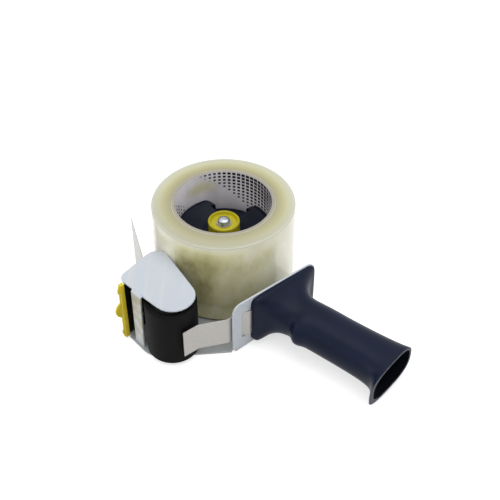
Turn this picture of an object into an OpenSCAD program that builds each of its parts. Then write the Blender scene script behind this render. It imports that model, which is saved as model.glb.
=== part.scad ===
// Pistol-grip dispenser for packing tape, lying on its side plate.
// The origin is where the hub's axis meets the surface that the dispenser lies on.
// +X runs towards the handle, +Z is up and is the axis of the hub and of the roller.

/* [Tape roll] */
// Outer diameter of the full roll
roll_d = 113.3; // [90:0.1:136]
// Width of the tape
roll_w = 75.1; // [62:0.1:90]
// Inner diameter of the core
core_id = 76.2; // [70:0.1:82]
// Wall of the paper core
core_wall = 2.9; // [2:0.1:5]

/* [Sheet-steel frame] */
// Thickness of the sheet
sheet_t = 1.5; // [1.2:0.1:2]
// Height of the top plate's upper face
head_h = 56; // [48:0.5:67]
// Clear space between the roll and the handle's flange
flange_gap = 15.95; // [12:0.05:20]
// Height of the handle's flange
flange_h = 49; // [46:0.5:60]
// Outer radius of the flange's upper corners
flange_corner_r = 8; // [4:0.5:12]
// Width of the front web at its foot
web_w = 10.5; // [8:0.5:13]

/* [Roller] */
// Outer diameter of the rubber
roller_d = 39.6; // [34:0.1:44]
// Distance of the roller's axis from the hub's axis, along the handle
roller_x = 38.6; // [36:0.1:42]
// Clear space between the roller and the roll
roller_gap = 13.7; // [12:0.1:18]
// Wall of the rubber sleeve
rubber_t = 4.8; // [3:0.1:6]
// Diameter of the roller's axle
axle_d = 8; // [6:0.1:9.6]

/* [Hub and brake] */
// Diameter of the spindle's journal
spindle_d = 10; // [8:0.1:12]
// Height of the hub's deck above the resting plane
deck_z = 45; // [42:0.5:50]
// Height of the raised rim on each hub lobe above the deck
lobe_rise = 7.5; // [4:0.5:9]
// Outer diameter of the adjusting knob
knob_d = 25.5; // [23:0.1:30]
// Height of the adjusting knob
knob_h = 13.1; // [11:0.1:16]
// Lead of the knob's thread
knob_lead = 1.25; // [0.8:0.05:1.75]

/* [Blade and guard] */
// Thickness of the cutting blade
blade_t = 0.8; // [0.5:0.05:1.2]
// Pitch of the blade's teeth
tooth_pitch = 2.5; // [2:0.1:4]
// Depth of the blade's teeth
tooth_depth = 2; // [1:0.1:2.2]
// Reach of the guard's middle lobe
guard_reach = 9.3; // [8:0.1:14]

/* [Wiper and tongue] */
// Free length of the wiper flap beyond the head
wiper_len = 48.3; // [35:0.1:55]
// Thickness of the wiper sheet
wiper_t = 0.6; // [0.4:0.05:1]
// Thickness of the tongue's spring steel
tongue_t = 0.8; // [0.5:0.05:1]
// Width of the tongue
tongue_w = 25; // [18:0.5:27]

/* [Handle] */
// Distance from the flange to the middle of the open end
handle_len = 102.4; // [90:0.1:120]
// Wall of the hollow grip
handle_wall = 2.4; // [2:0.1:3]
// Half height of the grip
grip_half_h = 15; // [13:0.1:16]

/* [Fits] */
// Radial clearance of a running fit
run_fit = 0.05; // [0.02:0.01:0.1]
// Gap between parts that lift or swing clear of each other
part_gap = 0.35; // [0.2:0.05:0.5]
// Clearance of a screw in its hole
screw_fit = 0.1; // [0.05:0.05:0.3]

/* [Hidden] */
$fn = 64;
eps = 0.01;

navy = [0.12, 0.13, 0.2];
steel = [0.72, 0.73, 0.75];
paint = [0.8, 0.82, 0.87];
yellow = [0.85, 0.78, 0.18];

// Derived heights and radii
roll_r = roll_d / 2;
roller_r = roller_d / 2;
lid_z = head_h - sheet_t;
flange_x = roll_r + flange_gap;
flange_out = flange_x + sheet_t;
roller_y = -sqrt(pow(roll_r + roller_r + roller_gap, 2) - pow(roller_x, 2));
hub_flange_z = sheet_t + 0.4;
roll_z = hub_flange_z + 1.1;

// ---------- outline helpers ----------

function unit(v) = v / norm(v);

// Signed turn from angle a to angle b, within half a turn
function turn(a, b) = let (d = b - a) d > 180 ? d - 360 : d < -180 ? d + 360 : d;

// Arc that rounds the corner p between its neighbours a and b with radius r
function corner(a, p, b, r, n = 6) =
    let (
        u = unit(a - p),
        v = unit(b - p),
        half = acos(u * v) / 2,
        c = p + unit(u + v) * r / sin(half),
        s = p + u * r / tan(half) - c,
        e = p + v * r / tan(half) - c,
        a0 = atan2(s.y, s.x),
        sweep = turn(a0, atan2(e.y, e.x))
    )
    [for (i = [0:n]) c + r * [cos(a0 + sweep * i / n), sin(a0 + sweep * i / n)]];

function xy(p) = [p.x, p.y];

// Closed outline from corners [x, y, radius]
function outline(pts) =
    let (n = len(pts))
    [for (i = [0:n - 1]) each corner(xy(pts[(i + n - 1) % n]), xy(pts[i]), xy(pts[(i + 1) % n]), pts[i][2])];

// Middle line of a bent strip from points [x, y, radius], open at both ends
function bent(pts) =
    let (n = len(pts) - 1)
    [for (i = [0:n]) each
        i == 0 || i == n ? [xy(pts[i])] : corner(xy(pts[i - 1]), xy(pts[i]), xy(pts[i + 1]), pts[i][2])];

// The line q moved sideways by d
function beside(q, d) =
    let (n = len(q) - 1)
    [for (i = [0:n]) let (t = unit(q[min(i + 1, n)] - q[max(i - 1, 0)])) q[i] + d * [-t.y, t.x]];

function backwards(q) = [for (i = [len(q) - 1:-1:0]) q[i]];

// Section of sheet of thickness t along the points pts
module strip(pts, t) {
    q = bent(pts);
    polygon(concat(beside(q, t / 2), backwards(beside(q, -t / 2))));
}

module ring(r_out, r_in, h) {
    difference() {
        cylinder(r = r_out, h = h);
        translate([0, 0, -1]) cylinder(r = r_in, h = h + 2);
    }
}

// Children placed in the head's own frame, whose origin is the foot of the roller's axis
module at_roller() {
    translate([roller_x, roller_y, 0]) children();
}

// ---------- frame ----------

// Places in the head, measured from the roller's axis
blade_x = -(roller_r + 12.85);
blade_y = -(roller_r - 0.2);
wiper_x = -(roller_r + 29.9);
wiper_y = 10.4;
wiper_angle = 156.2;
lid_front = -(roller_r - 0.6);
web_x = -(roller_r + 4);
web_front = -(roller_r - 0.6);
web_tilt = 2;
web_flare = 1.7;
bend_r = 1.75;

// Places of the handle's flange and of its slot
flange_y0 = -51;
flange_y1 = 31;
slot_y0 = -42.5;
slot_y1 = -33.5;
tongue_z = 12;
slot_play = 0.6;

// Fasteners
handle_holes = [[-21, tongue_z + tongue_w / 2], [14.5, 15], [14.5, 33.5]];
handle_screw_r = 2;
blade_screw_r = 2;
blade_hole_y = 11;
blade_hole_z = [head_h / 2 - 12.9, head_h / 2 + 12.9];
rivet_r = 1.6;
rivet_x = -11;
rivet_z = [head_h / 2 - 14, head_h / 2 + 14];
axle_screw_r = 2.5;
axle_screw_head_r = 5;
axle_screw_head_h = 1.2;
axle_dimple_r = 8;
axle_dimple_h = axle_screw_head_h + 0.2;
blade_flange_y0 = 1.4;
blade_flange_y1 = 18.5;
wiper_wall_x0 = -18;
wiper_wall_x1 = -4;

module side_plate_outline() {
    front = roller_y - roller_r;
    polygon(outline([
        [roller_x + blade_x - 3.2, front + 0.4, 2],
        [roller_x + blade_x + 2.8, front + 0.4, 0.3],
        [roller_x + blade_x + 2.8, front - 1.1, 0.4],
        [roller_x - 0.9, front - 0.8, 20],
        [flange_out - 0.8, flange_y0 + 1.2, 2],
        [flange_out - 2, flange_y1, 2],
        [40.8, 40.8, 30],
        [-26.1, 34, 24],
        [-35.1, -14.2, 20],
        [roller_x + wiper_x + 1.5, roller_y + 25, 8]
    ]));
}

module lid_outline() {
    polygon(outline([
        [-(roller_r + 30.8), 26.5, 9.5],
        [-(roller_r + 19.8), lid_front, 7],
        [roller_r - 1.6, -(roller_r - 6.7), roller_r - 3.9],
        [roller_r - 1.6, roller_r - 4.3, roller_r - 3.9]
    ]));
}

// Web that drops from the lid's front edge to the side plate, bent at its top
module front_web() {
    translate([web_x, web_front, 0]) rotate([0, 0, web_tilt]) {
        rotate([90, 0, 0]) translate([0, 0, -sheet_t]) linear_extrude(sheet_t) polygon([
            [0, sheet_t - eps],
            [web_w, sheet_t - eps],
            [web_w + web_flare, head_h - sheet_t - bend_r],
            [0.9, head_h - sheet_t - bend_r]
        ]);
        translate([0.9, sheet_t / 2, 0]) rotate([90, 0, 90]) linear_extrude(web_w + web_flare - 0.9)
            strip([
                [0, head_h - sheet_t - bend_r - 1],
                [0, head_h - sheet_t / 2, bend_r + sheet_t / 2 - 0.75],
                [6, head_h - sheet_t / 2]
            ], sheet_t);
    }
}

module blade_wall() {
    translate([blade_x - sheet_t, blade_y + blade_flange_y0, sheet_t - eps])
        cube([sheet_t, blade_flange_y1 - blade_flange_y0, lid_z - sheet_t + 2 * eps]);
}

module at_wiper() {
    translate([wiper_x, wiper_y, 0]) rotate([0, 0, wiper_angle]) children();
}

module wiper_wall() {
    at_wiper() translate([wiper_wall_x0, -sheet_t, sheet_t - eps])
        cube([wiper_wall_x1 - wiper_wall_x0, sheet_t, lid_z - sheet_t + 2 * eps]);
}

// Flange that carries the handle, bent up from the side plate
module handle_flange() {
    translate([flange_x, 0, 0]) rotate([90, 0, 90]) linear_extrude(sheet_t) polygon(outline([
        [flange_y0, sheet_t + 1.5, 1.5],
        [flange_y1, sheet_t + 1.5, 1.5],
        [flange_y1, flange_h - 1, flange_corner_r],
        [flange_y0, flange_h, flange_corner_r]
    ]));
    translate([0, flange_y1 - 2, 0]) rotate([90, 0, 0]) linear_extrude(flange_y1 - flange_y0 - 5) strip([
        [flange_x - 8, sheet_t / 2],
        [flange_out - sheet_t / 2, sheet_t / 2, 2.2],
        [flange_out - sheet_t / 2, 8]
    ], sheet_t);
}

module axle_dimple() {
    cylinder(r1 = axle_dimple_r + 2.5, r2 = axle_dimple_r + 1, h = sheet_t + axle_dimple_h);
}

module frame() {
    color(paint) difference() {
        union() {
            difference() {
                linear_extrude(sheet_t) side_plate_outline();
                translate([flange_out - 3, flange_y0, -1]) cube([10, 3, sheet_t + 2]);
            }
            handle_flange();
            at_roller() {
                axle_dimple();
                translate([0, 0, lid_z]) linear_extrude(sheet_t) lid_outline();
                front_web();
                blade_wall();
                wiper_wall();
            }
        }
        at_roller() {
            translate([0, 0, -eps]) cylinder(r = axle_dimple_r, h = axle_dimple_h + eps);
            cylinder(r = axle_screw_r + screw_fit, h = 10);
            for (z = blade_hole_z)
                translate([blade_x - sheet_t - 1, blade_y + blade_hole_y, z]) rotate([0, 90, 0])
                    cylinder(r = blade_screw_r + screw_fit, h = sheet_t + 2);
            at_wiper() for (z = rivet_z)
                translate([rivet_x, 1, z]) rotate([90, 0, 0]) cylinder(r = rivet_r + screw_fit, h = sheet_t + 2);
        }
        translate([flange_x - 1, slot_y0, tongue_z - slot_play])
            cube([sheet_t + 2, slot_y1 - slot_y0, tongue_w + 2 * slot_play]);
        for (p = handle_holes)
            translate([flange_x - 1, p.x, p.y]) rotate([0, 90, 0])
                cylinder(r = handle_screw_r + screw_fit, h = sheet_t + 2);
    }
}

// ---------- spindle, hub and brake ----------

foot_h = 2;
foot_r = 14;
collar_r = 8;
collar_z = 8;
washer_t = 1;
stud_r = spindle_d / 2 - 1;
knob_lift = 0.6;
knob_dish = 3.2;
floor_z = deck_z + knob_lift + knob_h - knob_dish;
bush_wall = 2;
bush_r = spindle_d / 2 + run_fit + bush_wall;
brake_r = knob_d / 2 - 2.3;
thrust_z = deck_z + 1.2;
spring_z = thrust_z + washer_t;
cap_z = floor_z - 2.8 - washer_t;
retainer_r = 2.5;

module spindle_post() {
    color(steel) {
        difference() {
            union() {
                translate([0, 0, sheet_t]) cylinder(r = foot_r, h = foot_h);
                translate([0, 0, sheet_t + foot_h]) cylinder(r = collar_r, h = collar_z - sheet_t - foot_h);
                translate([0, 0, collar_z]) cylinder(r = spindle_d / 2, h = deck_z - 0.4 - collar_z);
                translate([0, 0, deck_z - 1]) cylinder(r = stud_r, h = floor_z - 0.1 - deck_z + 1);
            }
            translate([0, 0, floor_z - 12]) cylinder(r = retainer_r + screw_fit, h = 13);
        }
    }
}

module bearing_washer() {
    color("white") translate([0, 0, collar_z]) ring(collar_r + 1, spindle_d / 2 + run_fit, washer_t);
}

module hub_bush() {
    color("ivory") translate([0, 0, collar_z + washer_t])
        ring(bush_r, spindle_d / 2 + run_fit, deck_z - collar_z - washer_t);
}

drum_r = core_id / 2 - 6.1;
ramp_r = max(drum_r - 13, knob_d / 2 + 1.5);
drum_wall = 2.5;
boss_wall = 2.5;
lobe_r = core_id / 2 - part_gap;
lobe_wall = 2.2;
lobe_half = 23;
lobe_root_half = 36;
lobe_first = 70;
deck_t = 2.5;
hub_flange_w = 5.6;
knob_well = knob_lead + 0.25 - knob_lift;

// Wedge that narrows from half0 degrees each side at radius r0 to half1 degrees at radius r1
module wedge(r0, r1, half0, half1, z0, z1) {
    p = r0 * [cos(half0), sin(half0)];
    q = r1 * [cos(half1), sin(half1)];
    far = q + (q - p) * 0.4;
    translate([0, 0, z0]) linear_extrude(z1 - z0) polygon([p, far, [far.x, -far.y], [p.x, -p.y]]);
}

// Hollow lobe that carries the core, with a top that rises from the deck to its rim
module lobe() {
    difference() {
        intersection() {
            rotate_extrude() polygon([
                [drum_r - 1, hub_flange_z],
                [lobe_r, hub_flange_z],
                [lobe_r, deck_z + lobe_rise - 0.8],
                [lobe_r - 0.8, deck_z + lobe_rise],
                [lobe_r - 3.4, deck_z + lobe_rise],
                [drum_r - 1, deck_z + lobe_rise * 0.66]
            ]);
            wedge(drum_r - 1, lobe_r, lobe_root_half, lobe_half, 0, deck_z + lobe_rise + 1);
        }
        intersection() {
            translate([0, 0, hub_flange_z - 1])
                ring(lobe_r - lobe_wall, drum_r, deck_z - deck_t - hub_flange_z + 1);
            wedge(drum_r, lobe_r, lobe_root_half - 7, lobe_half - 4, 0, deck_z);
        }
    }
    intersection() {
        rotate_extrude() polygon([
            [ramp_r, deck_z - 1],
            [drum_r, deck_z - 1],
            [drum_r, deck_z + lobe_rise * 0.72],
            [drum_r - 1, deck_z + lobe_rise * 0.66],
            [ramp_r + 2, deck_z + 0.6],
            [ramp_r, deck_z]
        ]);
        wedge(ramp_r + 1, lobe_r, lobe_root_half + 12, lobe_half, deck_z - 2, deck_z + lobe_rise + 1);
    }
}

module hub() {
    color(navy) difference() {
        union() {
            translate([0, 0, deck_z - deck_t]) cylinder(r = drum_r, h = deck_t);
            translate([0, 0, hub_flange_z]) ring(drum_r, drum_r - drum_wall, deck_z - hub_flange_z);
            translate([0, 0, hub_flange_z]) ring(core_id / 2 + hub_flange_w, drum_r - drum_wall, roll_z - hub_flange_z);
            translate([0, 0, collar_z + washer_t]) cylinder(r = bush_r + boss_wall, h = deck_z - collar_z - washer_t);
            for (i = [0:5]) rotate([0, 0, lobe_first + 60 * i])
                translate([bush_r + 1, -1, deck_z - 26]) cube([drum_r - drum_wall - bush_r, 2, 25]);
            for (i = [0:2]) rotate([0, 0, lobe_first + 120 * i]) lobe();
        }
        translate([0, 0, collar_z]) cylinder(r = bush_r, h = deck_z);
        translate([0, 0, deck_z - knob_well]) ring(knob_d / 2 + part_gap, brake_r, knob_well + 1);
    }
}

module friction_washer() {
    color("saddlebrown") translate([0, 0, deck_z]) ring(brake_r, stud_r + run_fit, thrust_z - deck_z);
}

module thrust_washer() {
    color(steel) translate([0, 0, thrust_z]) ring(brake_r, stud_r + run_fit, washer_t);
}

module spring_cap() {
    color(steel) translate([0, 0, cap_z]) ring(brake_r, stud_r + run_fit, washer_t);
}

// Round wire coiled from height z0 to z1
module coil(r, wire, turns, z0, z1) {
    sides = 8;
    per_turn = 20;
    rings = turns * per_turn;
    rise = z1 - z0 - wire;
    points = [for (i = [0:rings], j = [0:sides - 1])
        let (a = 360 * i / per_turn, b = 360 * j / sides, q = r + wire / 2 * cos(b))
        [q * cos(a), q * sin(a), z0 + wire / 2 + rise * i / rings + wire / 2 * sin(b)]];
    sides_faces = [for (i = [0:rings - 1], j = [0:sides - 1])
        let (k = (j + 1) % sides)
        [i * sides + j, i * sides + k, (i + 1) * sides + k, (i + 1) * sides + j]];
    polyhedron(points, concat(
        [[for (j = [sides - 1:-1:0]) j]],
        sides_faces,
        [[for (j = [0:sides - 1]) rings * sides + j]]
    ));
}

module tension_spring() {
    color("gray") coil(brake_r - 2, 0.8, 3, spring_z + 0.02, cap_z - 0.02);
}

module adjusting_knob() {
    color(yellow) difference() {
        translate([0, 0, deck_z + knob_lift]) rotate_extrude() polygon([
            [stud_r + run_fit, cap_z + washer_t - deck_z - knob_lift],
            [brake_r + part_gap, cap_z + washer_t - deck_z - knob_lift],
            [brake_r + part_gap, 0],
            [knob_d / 2 - 0.5, 0],
            [knob_d / 2, 0.5],
            [knob_d / 2, knob_h - 0.7],
            [knob_d / 2 - 0.7, knob_h],
            [knob_d / 2 - 1.5, knob_h],
            [knob_d / 2 - 2.2, knob_h - knob_dish],
            [stud_r + run_fit, knob_h - knob_dish]
        ]);
        for (i = [0:23]) rotate([0, 0, 15 * i])
            translate([knob_d / 2 + 0.55, 0, deck_z + 1.6]) cylinder(r = 0.8, h = knob_h - 3.6, $fn = 16);
    }
}

module retaining_washer() {
    color(steel) translate([0, 0, floor_z]) ring(6, retainer_r + screw_fit, washer_t);
}

module lock_washer() {
    color(steel) translate([0, 0, floor_z + washer_t]) difference() {
        ring(4.9, retainer_r + screw_fit, 1.2);
        rotate([0, 0, -50]) translate([2, -0.4, -1]) cube([5, 0.8, 4]);
    }
}

module retaining_screw() {
    head_z = floor_z + washer_t + 1.2;
    color("silver") {
        translate([0, 0, floor_z - 9]) cylinder(r = retainer_r, h = head_z - floor_z + 9 + eps);
        translate([0, 0, head_z]) rotate_extrude() polygon([
            [0, 0],
            [4.8, 0],
            [4.8, 1.2],
            [4.3, 2],
            [3.2, 2.6],
            [1.6, 2.9],
            [0, 2.95]
        ]);
    }
}

// ---------- tape ----------

module tape_core() {
    color("gainsboro") translate([0, 0, roll_z]) ring(core_id / 2 + core_wall, core_id / 2, roll_w);
}

module tape_roll() {
    color([0.83, 0.83, 0.66]) translate([0, 0, roll_z]) rotate_extrude() polygon([
        [core_id / 2 + core_wall + 0.02, 0],
        [roll_r - 0.6, 0],
        [roll_r, 0.6],
        [roll_r, roll_w - 1.2],
        [roll_r - 0.4, roll_w - 0.4],
        [roll_r - 1.4, roll_w],
        [core_id / 2 + core_wall + 0.02, roll_w]
    ]);
}

// ---------- roller ----------

roller_z0 = sheet_t + 0.6;
roller_z1 = lid_z - 3.1;
dimple_top = sheet_t + axle_dimple_h;
core_z0 = dimple_top + 1.1;
core_z1 = roller_z1 - 1.2;
bush_len = 8;
bush_flange_t = 1;
roller_bush_r = axle_d / 2 + 2;
weld_flange_h = 1.2;

module roller_axle() {
    color(steel) at_roller() difference() {
        union() {
            translate([0, 0, dimple_top]) cylinder(r = axle_d / 2, h = lid_z - dimple_top);
            translate([0, 0, lid_z - weld_flange_h]) cylinder(r = axle_d / 2 + 2, h = weld_flange_h);
        }
        translate([0, 0, dimple_top - 1]) cylinder(r = axle_screw_r + screw_fit, h = 14);
    }
}

module axle_screw() {
    color("silver") at_roller() {
        translate([0, 0, axle_dimple_h - axle_screw_head_h]) cylinder(r = axle_screw_head_r, h = axle_screw_head_h);
        translate([0, 0, axle_dimple_h - eps]) cylinder(r = axle_screw_r, h = 11);
    }
}

module flanged_bush() {
    ring(roller_bush_r, axle_d / 2 + run_fit, bush_len);
    translate([0, 0, -bush_flange_t]) ring(roller_bush_r + 1.5, axle_d / 2 + run_fit, bush_flange_t);
}

module roller_bushes() {
    color("ivory") at_roller() {
        translate([0, 0, core_z0]) flanged_bush();
        translate([0, 0, core_z1]) mirror([0, 0, 1]) flanged_bush();
    }
}

module roller_core() {
    spool_r = roller_r - rubber_t - 0.02;
    mid = (core_z0 + core_z1) / 2;
    color("dimgray") at_roller() difference() {
        translate([0, 0, core_z0]) cylinder(r = spool_r, h = core_z1 - core_z0);
        translate([0, 0, core_z0 - 1]) cylinder(r = roller_bush_r + 0.02, h = core_z1 - core_z0 + 2);
        for (z = [core_z0 - 1, mid + 2])
            translate([0, 0, z]) ring(spool_r - 2.5, roller_bush_r + 2.2, mid - 2 - core_z0 + 1);
    }
}

module roller_rubber() {
    len_r = roller_z1 - roller_z0;
    color([0.12, 0.12, 0.13]) at_roller() translate([0, 0, roller_z0]) rotate_extrude() polygon([
        [roller_r - rubber_t, 0],
        [roller_r - 0.8, 0],
        [roller_r, 0.8],
        [roller_r, len_r - 0.8],
        [roller_r - 0.8, len_r],
        [roller_r - rubber_t, len_r]
    ]);
}

// ---------- blade and guard ----------

blade_z0 = sheet_t + 1;
blade_z1 = lid_z - 1;
blade_tip = 2.6;
blade_back = 17;
guard_z0 = 0.3;
guard_z1 = head_h - 0.3;
guard_depth = 3.6;
guard_wall = 1.05;
fin_t = 1.5;
guard_valley = 4.6;

module at_blade() {
    at_roller() translate([blade_x, blade_y, 0]) children();
}

module blade() {
    teeth = floor((blade_z1 - blade_z0) / tooth_pitch);
    pitch = (blade_z1 - blade_z0) / teeth;
    color([0.2, 0.21, 0.24]) at_blade() difference() {
        rotate([90, 0, 90]) linear_extrude(blade_t) polygon(concat(
            [[blade_back, blade_z1], [blade_back, blade_z0]],
            [for (i = [0:teeth - 1], k = [0, 1])
                [k == 0 ? -blade_tip + tooth_depth : -blade_tip, blade_z0 + (i + k / 2) * pitch]],
            [[-blade_tip + tooth_depth, blade_z1]]
        ));
        for (z = blade_hole_z)
            translate([-1, blade_hole_y, z]) rotate([0, 90, 0]) cylinder(r = blade_screw_r + screw_fit, h = blade_t + 2);
    }
}

module blade_screws() {
    color("silver") at_blade() for (z = blade_hole_z) translate([0, blade_hole_y, z]) rotate([0, 90, 0]) {
        translate([0, 0, blade_t]) cylinder(r1 = 3.7, r2 = 2.9, h = 2.2);
        translate([0, 0, -sheet_t - 4.2]) cylinder(r = blade_screw_r, h = blade_t + sheet_t + 4.2 + eps);
    }
}

module blade_nuts() {
    color("silver") at_blade() for (z = blade_hole_z)
        translate([-sheet_t - 3.2, blade_hole_y, z]) rotate([0, 90, 0]) difference() {
            cylinder(r = 4.04, h = 3.2, $fn = 6);
            translate([0, 0, -1]) cylinder(r = blade_screw_r + run_fit, h = 6);
        }
}

module blade_guard() {
    mid_z = head_h / 2 + 2.2;
    end_z = 6.2;
    color(yellow) at_blade() difference() {
        union() {
            translate([-guard_wall - 0.1, -guard_depth, guard_z0])
                cube([blade_t + 2 * guard_wall + 0.2, guard_depth, guard_z1 - guard_z0]);
            translate([blade_t / 2 - fin_t / 2, 0, 0]) rotate([90, 0, 90]) linear_extrude(fin_t) intersection() {
                union() {
                    translate([-guard_valley, guard_z0 + 1]) square([guard_valley, guard_z1 - guard_z0 - 2]);
                    translate([-1, mid_z]) circle(r = guard_reach - 1);
                    translate([-0.2, guard_z0 + end_z]) circle(r = 5.4);
                    translate([-0.2, guard_z1 - end_z]) circle(r = 5.4);
                }
                translate([-guard_reach - 1, guard_z0]) square([guard_reach + 1, guard_z1 - guard_z0]);
            }
        }
        translate([-0.1, -blade_tip - 0.2, blade_z0 - 0.2])
            cube([blade_t + 0.2, blade_tip + 1, blade_z1 - blade_z0 + 0.4]);
    }
}

// ---------- wiper ----------

wiper_z0 = sheet_t + 1.5;
wiper_z1 = lid_z - 2;
wiper_hinge_x = -3;
clamp_t = 1.2;

module wiper_root() {
    color([0.85, 0.85, 0.84]) at_roller() at_wiper() difference() {
        translate([wiper_wall_x0, 0, wiper_z0])
            cube([wiper_hinge_x - wiper_t / 2 - 0.1 - wiper_wall_x0, wiper_t, wiper_z1 - wiper_z0]);
        for (z = rivet_z)
            translate([rivet_x, 5, z]) rotate([90, 0, 0]) cylinder(r = rivet_r + screw_fit, h = 10);
    }
}

module wiper_flap() {
    color([0.85, 0.85, 0.84]) at_roller() at_wiper()
        translate([wiper_hinge_x + wiper_t / 2 + 0.1, 0, wiper_z0])
            cube([wiper_len - wiper_hinge_x - wiper_t / 2 - 0.1, wiper_t, wiper_z1 - wiper_z0]);
}

module wiper_clamp() {
    color(steel) at_roller() at_wiper() difference() {
        translate([wiper_wall_x0 + 1, wiper_t, wiper_z0])
            cube([wiper_wall_x1 - wiper_wall_x0 - 2, clamp_t, wiper_z1 - wiper_z0]);
        for (z = rivet_z)
            translate([rivet_x, 5, z]) rotate([90, 0, 0]) cylinder(r = rivet_r + screw_fit, h = 10);
    }
}

module wiper_rivets() {
    head_h_r = 1.1;
    color("silver") at_roller() at_wiper() for (z = rivet_z) translate([rivet_x, 0, z]) rotate([90, 0, 0]) {
        translate([0, 0, -wiper_t - clamp_t - head_h_r]) cylinder(r1 = 2.2, r2 = 3, h = head_h_r);
        translate([0, 0, -wiper_t - clamp_t - eps]) cylinder(r = rivet_r, h = wiper_t + clamp_t + sheet_t + 2 * eps);
        translate([0, 0, sheet_t]) cylinder(r1 = 3, r2 = 2.2, h = head_h_r);
    }
}

// ---------- tongue ----------

tongue_split = -47;
tongue_x = flange_x - 1.3;
seat_x = flange_out + tongue_t / 2 + 0.05;
tongue_end = -7.5;

module tongue_arm() {
    color([0.75, 0.73, 0.7]) translate([0, 0, tongue_z]) linear_extrude(tongue_w) strip([
        [roller_x + roller_r + 2.6, roller_y - 5.8],
        [roller_x + roller_r + 2.9, roller_y + 7.5, 3],
        [tongue_x - 0.3, tongue_split - 6.5, 4],
        [tongue_x, tongue_split - 0.2]
    ], tongue_t);
}

module tongue_root() {
    color([0.75, 0.73, 0.7]) difference() {
        translate([0, 0, tongue_z]) linear_extrude(tongue_w) strip([
            [tongue_x, tongue_split + 0.2],
            [tongue_x + 0.1, slot_y0 + 0.7, 3],
            [seat_x, slot_y1 - 2, 3],
            [seat_x, tongue_end]
        ], tongue_t);
        translate([flange_x, handle_holes[0].x, handle_holes[0].y]) rotate([0, 90, 0])
            cylinder(r = handle_screw_r + screw_fit, h = 10);
    }
}

// ---------- handle ----------

handle_z = 25.2;
grip_slope = 0.19;
grip_turn = atan(grip_slope);
handle_y = -4;
cavity_x = 6.5;
bore_reach = 28.6;
pocket_depth = tongue_t + 0.15;

// Stations along the handle: [share of the length, half width below, half width above,
// half height, squareness, drop of the middle]
handle_stations = [
    [0, 30.1, 33.2, 22.8, 9, 0],
    [0.026, 30.1, 33.2, 22.8, 9, 0],
    [0.036, 28.9, 32, 21.9, 8, 0],
    [0.052, 25, 27.6, 19.6, 5.5, 0.3],
    [0.08, 21.8, 22.8, 17.5, 3.8, 0.7],
    [0.12, 19.7, 19.2, 16, 2.9, 1.1],
    [0.17, 18.8, 17.4, 15.2, 2.4, 1.6],
    [0.22, 18.8, 17, 15, 2.2, 1.9],
    [0.27, 22.4, 17.4, 15, 2.2, 2.2],
    [0.3, 22.6, 17.7, 15, 2.2, 2.3],
    [0.345, 20.2, 18.2, 15, 2.2, 2.5],
    [0.4, 19.7, 18.6, 15, 2.2, 2.8],
    [0.53, 18.9, 19.1, 15, 2.2, 3.4],
    [0.73, 18, 20.4, 15, 2.3, 4.2],
    [0.86, 18.4, 21.6, 15, 2.4, 4.6],
    [0.94, 21.4, 22.6, 15, 2.5, 4.8],
    [0.985, 29, 23.3, 15, 2.7, 5],
    [1, 32.4, 23.5, 14.8, 2.8, 5]
];

// Smooth value of column c of the stations at the share s, with s = 0 at the flange
function slope_at(i, c) =
    let (n = len(handle_stations) - 1, a = handle_stations[max(i - 1, 0)], b = handle_stations[min(i + 1, n)])
    i == 0 || i == n ? 0 : (b[c] - a[c]) / (b[0] - a[0]);

function station_value(s, c) =
    let (
        n = len(handle_stations) - 2,
        i = min([for (k = [0:n]) if (s <= handle_stations[k + 1][0] || k == n) k]),
        a = handle_stations[i],
        b = handle_stations[i + 1],
        w = b[0] - a[0],
        t = min(1, (s - a[0]) / w),
        p = slope_at(i, c) * w,
        q = slope_at(i + 1, c) * w
    )
    a[c] + t * p + t * t * (3 * (b[c] - a[c]) - 2 * p - q) + t * t * t * (2 * (a[c] - b[c]) + p + q);

function spread(v, power) = sign(v) * pow(abs(v), power);

// Ring of points around the handle at the share s, moved inwards by inset,
// with its half width below the middle no larger than reach before that
function handle_ring(s, inset, sides, reach = 100) =
    let (
        x = s * handle_len,
        low = min(station_value(s, 1), reach) - inset,
        high = station_value(s, 2) - inset,
        tall = station_value(s, 3) * grip_half_h / 15 - inset,
        power = 2 / station_value(s, 4),
        tilt = grip_turn * min(1, s / 0.17),
        mid_y = handle_y + grip_slope * x,
        mid_z = handle_z - station_value(s, 5)
    )
    [for (j = [0:sides - 1])
        let (a = 360 * (j + 0.5) / sides, c = spread(cos(a), power), w = c * (c < 0 ? low : high))
        [flange_out + x - w * sin(tilt), mid_y + w * cos(tilt), mid_z + spread(sin(a), power) * tall]];

module loft(rings) {
    sides = len(rings[0]);
    last = len(rings) - 1;
    polyhedron(
        [for (r = rings) each r],
        concat(
            [[for (j = [0:sides - 1]) j]],
            [for (i = [0:last - 1], j = [0:sides - 1])
                let (k = (j + 1) % sides)
                [i * sides + k, i * sides + j, (i + 1) * sides + j, (i + 1) * sides + k]],
            [[for (j = [sides - 1:-1:0]) last * sides + j]]
        )
    );
}

outer_shares = [0, 0.026, 0.031, 0.036, 0.044, 0.052, 0.065, 0.08, 0.1, 0.12, 0.145, 0.17, 0.2, 0.225, 0.245,
    0.26, 0.275, 0.29, 0.31, 0.33, 0.36, 0.4, 0.46, 0.53, 0.63, 0.73, 0.8, 0.86, 0.9, 0.93, 0.955, 0.975, 0.99, 1];

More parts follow.
